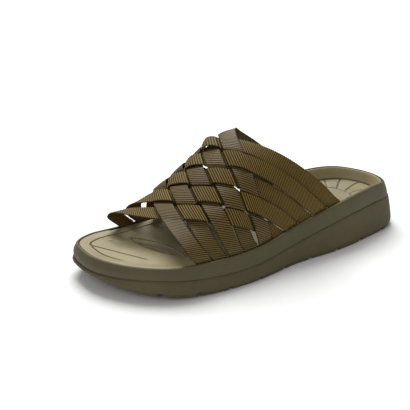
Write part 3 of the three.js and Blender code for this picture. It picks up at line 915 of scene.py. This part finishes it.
# The spacing goes over from that of the strap ends to that of the lattice, from this share of
# RIM_TWIST onwards.
PITCH_BLEND_START = 0.15


def across_places():
    """Places across the webbing from -1 to 1, close together at the rounded selvedges."""
    round_share = 2 * EDGE_RADIUS / WEBBING_WIDTH
    middle = np.linspace(-1, 1, MIDDLE_PLACES)[1:-1] * (1 - round_share)
    bend = 1 - round_share * (1 - np.sin(np.linspace(0, math.pi / 2, SELVEDGE_PLACES)))
    return np.concatenate([-bend[::-1], middle, bend])


def rib_wave(length):
    """1 on the crown of a rib and 0 in the groove between two ribs."""
    return np.abs(np.sin(math.pi * length / RIB_PITCH))


def strap_width(first_set, number, progress, from_rim):
    """The spacing of the lines beside each section, and the strap's half width as a share of it."""
    rim_pitch = np.where(progress < 0, LATERAL_PITCH, MEDIAL_PITCH)
    spacing = strap_spacing(first_set, number, progress)
    blend = smoothstep(PITCH_BLEND_START * RIM_TWIST, RIM_TWIST, from_rim)
    pitch = rim_pitch + (spacing - rim_pitch) * blend
    crossing = number + (progress if first_set else -progress)
    outside = np.maximum(np.maximum(1 - crossing, crossing - STRAPS), 0)
    free = WEBBING_WIDTH / 2 / pitch
    squeezed = np.minimum(free, WEAVE_HALF_WIDTH)
    return pitch, squeezed + (free - squeezed) * smoothstep(*WIDENING, outside)


def weave_rise(first_set, number, crossed):
    """How far a strap stands over the upper's surface, in shares of WEAVE_LIFT."""
    side = weave_side(first_set, number, crossed)
    nearest = np.clip(np.round(crossed), 1, STRAPS)
    pillow = np.clip(side, 0, 1) * np.maximum(1 - ((crossed - nearest) / 0.5) ** 2, 0)
    for other in range(1, STRAPS + 1):
        pair = (number, other) if first_set else (other, number)
        pillow = np.where(nearest == other, LOOSE_CROSSINGS.get(pair, WEAVE_PILLOW) * pillow, pillow)
    return side + pillow


def upper_sections(first_set, number):
    """The middle surface of the strap over the foot: lengths, then rows of points across it."""
    table = np.linspace(-STRAPS, STRAPS, TABLE_STEPS)
    middle = lattice_point(*lattice_place(first_set, number, table, 0 * table))
    lengths = np.r_[0, np.cumsum(np.linalg.norm(np.diff(middle, axis=0), axis=1))]
    total = lengths[-1]
    length = np.linspace(0, total, int(total / (RIB_PITCH / SECTIONS_PER_RIB)))
    progress = np.interp(length, lengths, table)
    from_rim = np.minimum(length, total - length)
    pitch, half = strap_width(first_set, number, progress, from_rim)

    t = across_places()[None, :]
    across = half[:, None] * t
    along_rim = (1 - smoothstep(0, RIM_TWIST, from_rim)) * (1 if first_set else -1)
    along = progress[:, None] + across * along_rim[:, None]
    inside = np.clip(along, -STRAPS, STRAPS)
    travelled = np.interp(inside, table, lengths) + (along - inside) * (total / (2 * STRAPS))
    tooth = SERRATION * (rib_wave(travelled) - TOOTH_MIDDLE) * np.abs(t) ** TOOTH_NARROWNESS
    across = across + tooth / pitch[:, None] * np.sign(t)
    a, b = lattice_place(first_set, number, along, across)
    lift = WEAVE_LIFT * smoothstep(0, RIM_LIFT, from_rim)[:, None]
    rise = lift * weave_rise(first_set, number, b if first_set else a)
    return travelled, lattice_point(a, b) + lattice_normal(a, b) * rise[..., None]


SLOT_SECTIONS = 7
BEND_ANGLES = (0, 30, 60, 90)


def tail_sections(rim_row, side):
    """The lasted end of a strap: down the slot, round the board's edge and in under it."""
    flat_z = board_underside(rim_row[:, 1]) - SEAM - WEBBING_THICKNESS / 2
    turn_z = flat_z + TAIL_BEND
    rows = []
    for f in np.linspace(0, 1, SLOT_SECTIONS)[1:-1]:
        row = rim_row.copy()
        row[:, 2] = rim_row[:, 2] + (turn_z - rim_row[:, 2]) * f
        rows.append(row)
    for degrees in BEND_ANGLES:
        angle = math.radians(degrees)
        row = rim_row.copy()
        row[:, 0] += side * TAIL_BEND * (math.cos(angle) - 1)
        row[:, 2] = turn_z - TAIL_BEND * math.sin(angle)
        rows.append(row)
    end = rows[-1].copy()
    end[:, 0] = rim_row[:, 0] - side * TAIL_LENGTH
    rows.append(end)
    return np.array(rows)


def strap_sections(first_set, number):
    """The middle surface of the whole strap, lasted ends and all: lengths, then rows of points."""
    length, upper = upper_sections(first_set, number)
    lateral_tail = tail_sections(upper[0], 1)[::-1]
    medial_tail = tail_sections(upper[-1], -1)
    middle = np.concatenate([lateral_tail, upper, medial_tail])
    steps = np.linalg.norm(np.diff(middle, axis=0), axis=2)
    before = length[0] - np.cumsum(steps[len(lateral_tail) - 1::-1], axis=0)[::-1]
    after = length[-1] + np.cumsum(steps[len(lateral_tail) + len(length) - 1:], axis=0)
    return np.concatenate([before, length, after]), middle


def strip_faces(top, under):
    """Quads over both faces of a strip, and the faces that close its two ends."""

    def quads(grid):
        return np.stack([grid[:-1, :-1], grid[1:, :-1], grid[1:, 1:], grid[:-1, 1:]], axis=-1).reshape(-1, 4)

    def end(above, below):
        corners = [(above[0], above[1], below[1]), (above[-2], above[-1], below[-2])]
        for m in range(1, len(above) - 2):
            corners.append((above[m], above[m + 1], below[m + 1], below[m]))
        return [[int(corner) for corner in face] for face in corners]

    first = end(top[0], under[0])
    last = [face[::-1] for face in end(top[-1], under[-1])]
    return quads(top).tolist() + quads(under)[:, ::-1].tolist() + first + last


def make_strap(name, node, first_set, number):
    """One strip of ribbed webbing from its lateral to its medial lasted end."""
    travelled, middle = strap_sections(first_set, number)
    along = unit(np.gradient(middle, axis=0))
    sideways = unit(np.gradient(middle, axis=1))
    normal = unit(np.cross(along, sideways))
    t = across_places()
    from_edge = (1 - np.abs(t)) * WEBBING_WIDTH / 2
    rounding = np.sqrt(np.maximum(1 - (1 - np.minimum(from_edge / EDGE_RADIUS, 1)) ** 2, 0))
    relief = RIB_RELIEF * (1 - rib_wave(travelled))
    half = (WEBBING_THICKNESS / 2 - relief) * rounding[None, :]
    upper_face = middle + normal * half[..., None]
    under_face = middle - normal * half[..., None]

    rows, columns = travelled.shape
    top = np.arange(rows * columns).reshape(rows, columns)
    under = top.copy()
    under[:, 1:-1] = rows * columns + np.arange(rows * (columns - 2)).reshape(rows, columns - 2)
    points = np.concatenate([upper_face.reshape(-1, 3), under_face[:, 1:-1].reshape(-1, 3)])
    piece = make_piece(name, points, strip_faces(top, under))

    texture = piece.data.uv_layers.new(name="Webbing")
    place = np.stack([travelled, np.broadcast_to(t * WEBBING_WIDTH / 2, travelled.shape)], axis=-1)
    place = np.concatenate([place.reshape(-1, 2), place[:, 1:-1].reshape(-1, 2)])
    corners = np.empty(len(piece.data.loops), np.int32)
    piece.data.loops.foreach_get("vertex_index", corners)
    texture.data.foreach_set("uv", (place[corners] / TEXTURE_UNIT).astype(np.float32).ravel())
    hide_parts(node)
    return piece


# ---- materials --------------------------------------------------------------------------

THREAD_PITCH = 0.95
# The width of the painted shade along each edge of a strap.
EDGE_SHADE_WIDTH = 1.0


class Shader:
    """A small helper that adds nodes to a material and links them."""

    def __init__(self, name):
        self.material = bpy.data.materials.new(name)
        self.material.use_nodes = True
        self.tree = self.material.node_tree
        self.surface = self.tree.nodes["Principled BSDF"]

    def add(self, kind, inputs=(), **settings):
        node = self.tree.nodes.new(kind)
        for key, value in settings.items():
            setattr(node, key, value)
        for key, value in dict(inputs).items():
            self.feed(node.inputs[key], value)
        return node

    def feed(self, socket, value):
        if isinstance(value, bpy.types.NodeSocket):
            self.tree.links.new(value, socket)
        else:
            socket.default_value = value

    def math(self, operation, *values):
        node = self.add("ShaderNodeMath", operation=operation)
        for socket, value in zip(node.inputs, values):
            self.feed(socket, value)
        return node.outputs[0]

    def clamped(self, operation, *values):
        result = self.math(operation, *values)
        result.node.use_clamp = True
        return result

    def noise(self, scale, detail=3.0, roughness=0.55, vector=None):
        node = self.add("ShaderNodeTexNoise", {"Scale": scale, "Detail": detail, "Roughness": roughness})
        self.feed(node.inputs["Vector"], vector or self.place())
        return node.outputs["Fac"]

    def place(self):
        return self.add("ShaderNodeTexCoord").outputs["Object"]

    # Reads the per-point values of painted shade and painted highlights.
    def painted_shading(self):
        return self.add("ShaderNodeAttribute", attribute_name="painted_shading").outputs["Fac"]

    def ramp(self, factor, stops):
        node = self.add("ShaderNodeValToRGB")
        elements = node.color_ramp.elements
        while len(elements) < len(stops):
            elements.new(0.5)
        for element, (position, colour) in zip(elements, stops):
            element.position = position
            element.color = (*colour, 1)
        self.feed(node.inputs[0], factor)
        return node.outputs[0]

    def mix(self, factor, first, second, blend="MIX"):
        node = self.add("ShaderNodeMix", data_type="RGBA", blend_type=blend)
        for socket, value in ((node.inputs[0], factor), (node.inputs[6], first), (node.inputs[7], second)):
            if isinstance(value, tuple):
                value = (*value, 1)
            self.feed(socket, value)
        return node.outputs[2]

    def bump(self, height, strength, distance):
        node = self.add("ShaderNodeBump", {"Strength": strength, "Distance": distance, "Height": height})
        self.feed(self.surface.inputs["Normal"], node.outputs[0])

    def finish(self, colour, roughness, **constants):
        self.feed(self.surface.inputs["Base Color"], colour)
        self.feed(self.surface.inputs["Roughness"], roughness)
        for key, value in constants.items():
            self.surface.inputs[key.replace("_", " ")].default_value = value
        return self.material


def webbing_material(name, crown, sheen, gloss, roughness_low):
    """Ribbed nylon webbing: painted highlights on the rib crowns over painted shade in the grooves, crossed
    by fine warp threads, with painted shade between the threads and along both edges.
    """
    s = Shader(name)
    uv = s.add("ShaderNodeUVMap", uv_map="Webbing").outputs[0]
    split = s.add("ShaderNodeSeparateXYZ", {0: uv})
    along = s.math("MULTIPLY", split.outputs[0], TEXTURE_UNIT)
    across = s.math("MULTIPLY", split.outputs[1], TEXTURE_UNIT)
    rib = s.math("ABSOLUTE", s.math("SINE", s.math("MULTIPLY", along, math.pi / RIB_PITCH)))
    thread = s.math("ABSOLUTE", s.math("SINE", s.math("MULTIPLY", across, math.pi / THREAD_PITCH)))
    # The ramp paints highlights on the rib crowns and shade in the grooves between them.
    rib_highlight_and_shade = [(0.15, (0.002, 0.0011, 0.0002)), (0.5, (0.03, 0.0185, 0.0035)), (0.85, crown)]
    body = s.ramp(rib, rib_highlight_and_shade)
    # Painted shade between the warp threads.
    body = s.mix(s.math("MULTIPLY", s.math("SUBTRACT", 1.0, thread), 0.5), body, (0.014, 0.0095, 0.0024))
    # Painted shade along both edges, where neighbouring straps overlap and shade them.
    from_middle = s.math("ABSOLUTE", across)
    edge_shade = s.clamped("DIVIDE", s.math("SUBTRACT", from_middle, WEBBING_WIDTH / 2 - EDGE_SHADE_WIDTH), 0.8)
    body = s.mix(s.math("MULTIPLY", edge_shade, 0.75), body, (0.01, 0.006, 0.0015))
    cloudy = s.noise(38.0, 2.0)
    body = s.mix(s.math("MULTIPLY", cloudy, 0.2), body, (0.045, 0.035, 0.012))
    fuzz = s.noise(1800.0, 2.0, 0.6)
    body = s.mix(0.35, body, s.ramp(fuzz, [(0.3, (0.25, 0.25, 0.25)), (0.7, (1, 1, 1))]), "MULTIPLY")
    s.bump(s.math("ADD", s.math("MULTIPLY", thread, 0.5), s.math("MULTIPLY", fuzz, 0.4)), 0.5, 0.00012)
    roughness = s.math("ADD", roughness_low, s.math("MULTIPLY", fuzz, 0.2))
    return s.finish(
        body, roughness, Sheen_Weight=sheen, Sheen_Roughness=0.25, Sheen_Tint=(0.95, 0.84, 0.74, 1),
        Specular_IOR_Level=gloss,
    )


def foam_side_material(name, light, dark, roughness_low):
    """Matte moulded foam or rubber with a soft mottle and a fine skin."""
    s = Shader(name)
    cloudy = s.noise(45.0, 3.0)
    colour = s.ramp(cloudy, [(0.3, dark), (0.7, light)])
    speck = s.noise(900.0, 2.0)
    colour = s.mix(0.25, colour, s.ramp(speck, [(0.35, (0.55, 0.55, 0.55)), (0.65, (1, 1, 1))]), "MULTIPLY")
    # Positive values paint shade into the seam beside the footbed, negative ones paint a highlight on the
    # lip's top.
    painted_shading = s.painted_shading()
    colour = s.mix(s.clamped("MULTIPLY", painted_shading, 0.9), colour, (0.012, 0.01, 0.006))
    colour = s.mix(s.clamped("MULTIPLY", painted_shading, -0.9), colour, (0.2, 0.172, 0.095))
    s.bump(speck, 0.3, 0.0001)
    roughness = s.math("ADD", roughness_low, s.math("MULTIPLY", cloudy, 0.15))
    return s.finish(colour, roughness, Specular_IOR_Level=0.3)


def footbed_material():
    """Khaki footbed foam: smooth walls, finely grained floor, with painted shade where lines are moulded in,
    along the hollows' edges, beside the lip and on the heel's floor.
    """
    s = Shader("footbed_skin")
    cloudy = s.noise(30.0, 3.0)
    colour = s.ramp(cloudy, [(0.3, (0.265, 0.218, 0.11)), (0.7, (0.345, 0.285, 0.15))])
    grain = s.noise(1300.0, 2.0, 0.7)
    colour = s.mix(0.3, colour, s.ramp(grain, [(0.35, (0.6, 0.6, 0.58)), (0.6, (1, 1, 1))]), "MULTIPLY")
    # Painted shade from the footbed's attribute.
    colour = s.mix(s.math("MULTIPLY", s.painted_shading(), 0.88), colour, (0.02, 0.016, 0.008))
    s.bump(grain, 0.25, 0.00012)
    return s.finish(colour, s.math("ADD", 0.38, s.math("MULTIPLY", cloudy, 0.2)), Specular_IOR_Level=0.5)


def board_material():
    """Pressed fibre board with a coarse, matt surface."""
    s = Shader("pressed_fibre")
    fibre = s.noise(500.0, 5.0, 0.7)
    colour = s.ramp(fibre, [(0.3, (0.32, 0.25, 0.15)), (0.7, (0.52, 0.44, 0.3))])
    s.bump(fibre, 0.4, 0.0002)
    return s.finish(colour, s.math("ADD", 0.8, s.math("MULTIPLY", fibre, 0.15)))


def floor_material():
    """A plain floor, almost white."""
    s = Shader("studio_floor")
    cloudy = s.noise(3.0, 2.0)
    colour = s.ramp(cloudy, [(0.3, (0.95, 0.95, 0.95)), (0.7, (0.97, 0.97, 0.97))])
    return s.finish(colour, s.math("ADD", 0.85, s.math("MULTIPLY", cloudy, 0.1)), Specular_IOR_Level=0.1)


# ---- the object -------------------------------------------------------------------------

def dress(piece, material):
    """Gives a piece its material, and lets it ride on the only body."""
    piece.data.materials.clear()
    piece.data.materials.append(material)
    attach(piece, "root")


dress(make_outsole(), foam_side_material("outsole_skin", (0.113, 0.096, 0.045), (0.092, 0.078, 0.037), 0.62))
dress(make_midsole(), foam_side_material("midsole_skin", (0.108, 0.093, 0.043), (0.088, 0.075, 0.036), 0.5))
dress(make_footbed(), footbed_material())
# Both sets are one webbing in lit and shaded copies: the lateral set's crowns are painted darker and the
# medial set's lighter, for how the light falls on each set's ribs. The lateral set also has more sheen and
# gloss.
sheen_webbing_painted_darker = webbing_material("webbing_sheen_painted_darker", (0.245, 0.156, 0.03), 0.16, 0.27, 0.38)
matt_webbing_painted_lighter = webbing_material("webbing_matt_painted_lighter", (0.31, 0.198, 0.042), 0.05, 0.16, 0.5)
for number in range(1, STRAPS + 1):
    dress(make_strap(f"webbing_lateral_{number}", f"lateral_strap_{number}", True, number), sheen_webbing_painted_darker)
    dress(make_strap(f"webbing_medial_{number}", f"medial_strap_{number}", False, number), matt_webbing_painted_lighter)

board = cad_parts["insole_board"]
board.data.materials.clear()
board.data.materials.append(board_material())


# ---- the studio -------------------------------------------------------------------------

def make_floor():
    """A floor much larger than the object."""
    size = 6.0
    mesh = bpy.data.meshes.new("floor")
    corners = [(-size, -size, 0), (size, -size, 0), (size, size, 0), (-size, size, 0)]
    mesh.from_pydata(corners, [], [(0, 1, 2, 3)])
    floor = bpy.data.objects.new("floor", mesh)
    bpy.context.scene.collection.objects.link(floor)
    mesh.materials.append(floor_material())


def make_light(name, place, size, power):
    """A round white lamp at a place, facing the object."""
    data = bpy.data.lights.new(name, "AREA")
    data.shape = "DISK"
    data.size = size
    data.energy = power
    light = bpy.data.objects.new(name, data)
    light.location = place
    light.rotation_mode = "QUATERNION"
    light.rotation_quaternion = Vector(place).to_track_quat("Z", "Y")
    bpy.context.scene.collection.objects.link(light)


def make_world():
    """Even white light from all around."""
    world = bpy.data.worlds.new("studio")
    world.use_nodes = True
    background = world.node_tree.nodes["Background"]
    background.inputs[0].default_value = (1, 1, 1, 1)
    background.inputs[1].default_value = 0.33
    bpy.context.scene.world = world


CAMERA_AZIMUTH = math.radians(57.861)
CAMERA_ELEVATION = math.radians(22.365)
CAMERA_DISTANCE = 1.09997
CAMERA_ASIDE = -0.03158
CAMERA_ABOVE = 0.038187
CAMERA_LENS = 114.06


def make_camera():
    """A long lens, level from side to side, that looks down at the sandal's lateral front."""
    a, e = CAMERA_AZIMUTH, CAMERA_ELEVATION
    right = Vector((math.cos(a), math.sin(a), 0))
    back = Vector((math.sin(a) * math.cos(e), -math.cos(a) * math.cos(e), math.sin(e)))
    above = back.cross(right)
    data = bpy.data.cameras.new("camera")
    data.lens = CAMERA_LENS
    data.sensor_width = 36
    data.clip_start = 0.05
    data.clip_end = 50
    camera = bpy.data.objects.new("camera", data)
    place = back * CAMERA_DISTANCE + right * CAMERA_ASIDE + above * CAMERA_ABOVE
    camera.location = place + Vector(SHIFT / 1000)
    camera.rotation_mode = "QUATERNION"
    camera.rotation_quaternion = (-back).to_track_quat("-Z", "Y")
    bpy.context.scene.collection.objects.link(camera)
    bpy.context.scene.camera = camera


make_floor()
make_world()
make_light("overhead", (-0.9, 0.3, 1.5), 1.3, 34)
make_light("front", (1.2, -1.6, 1.4), 1.2, 8)
make_camera()
bpy.context.scene.view_settings.view_transform = "Standard"
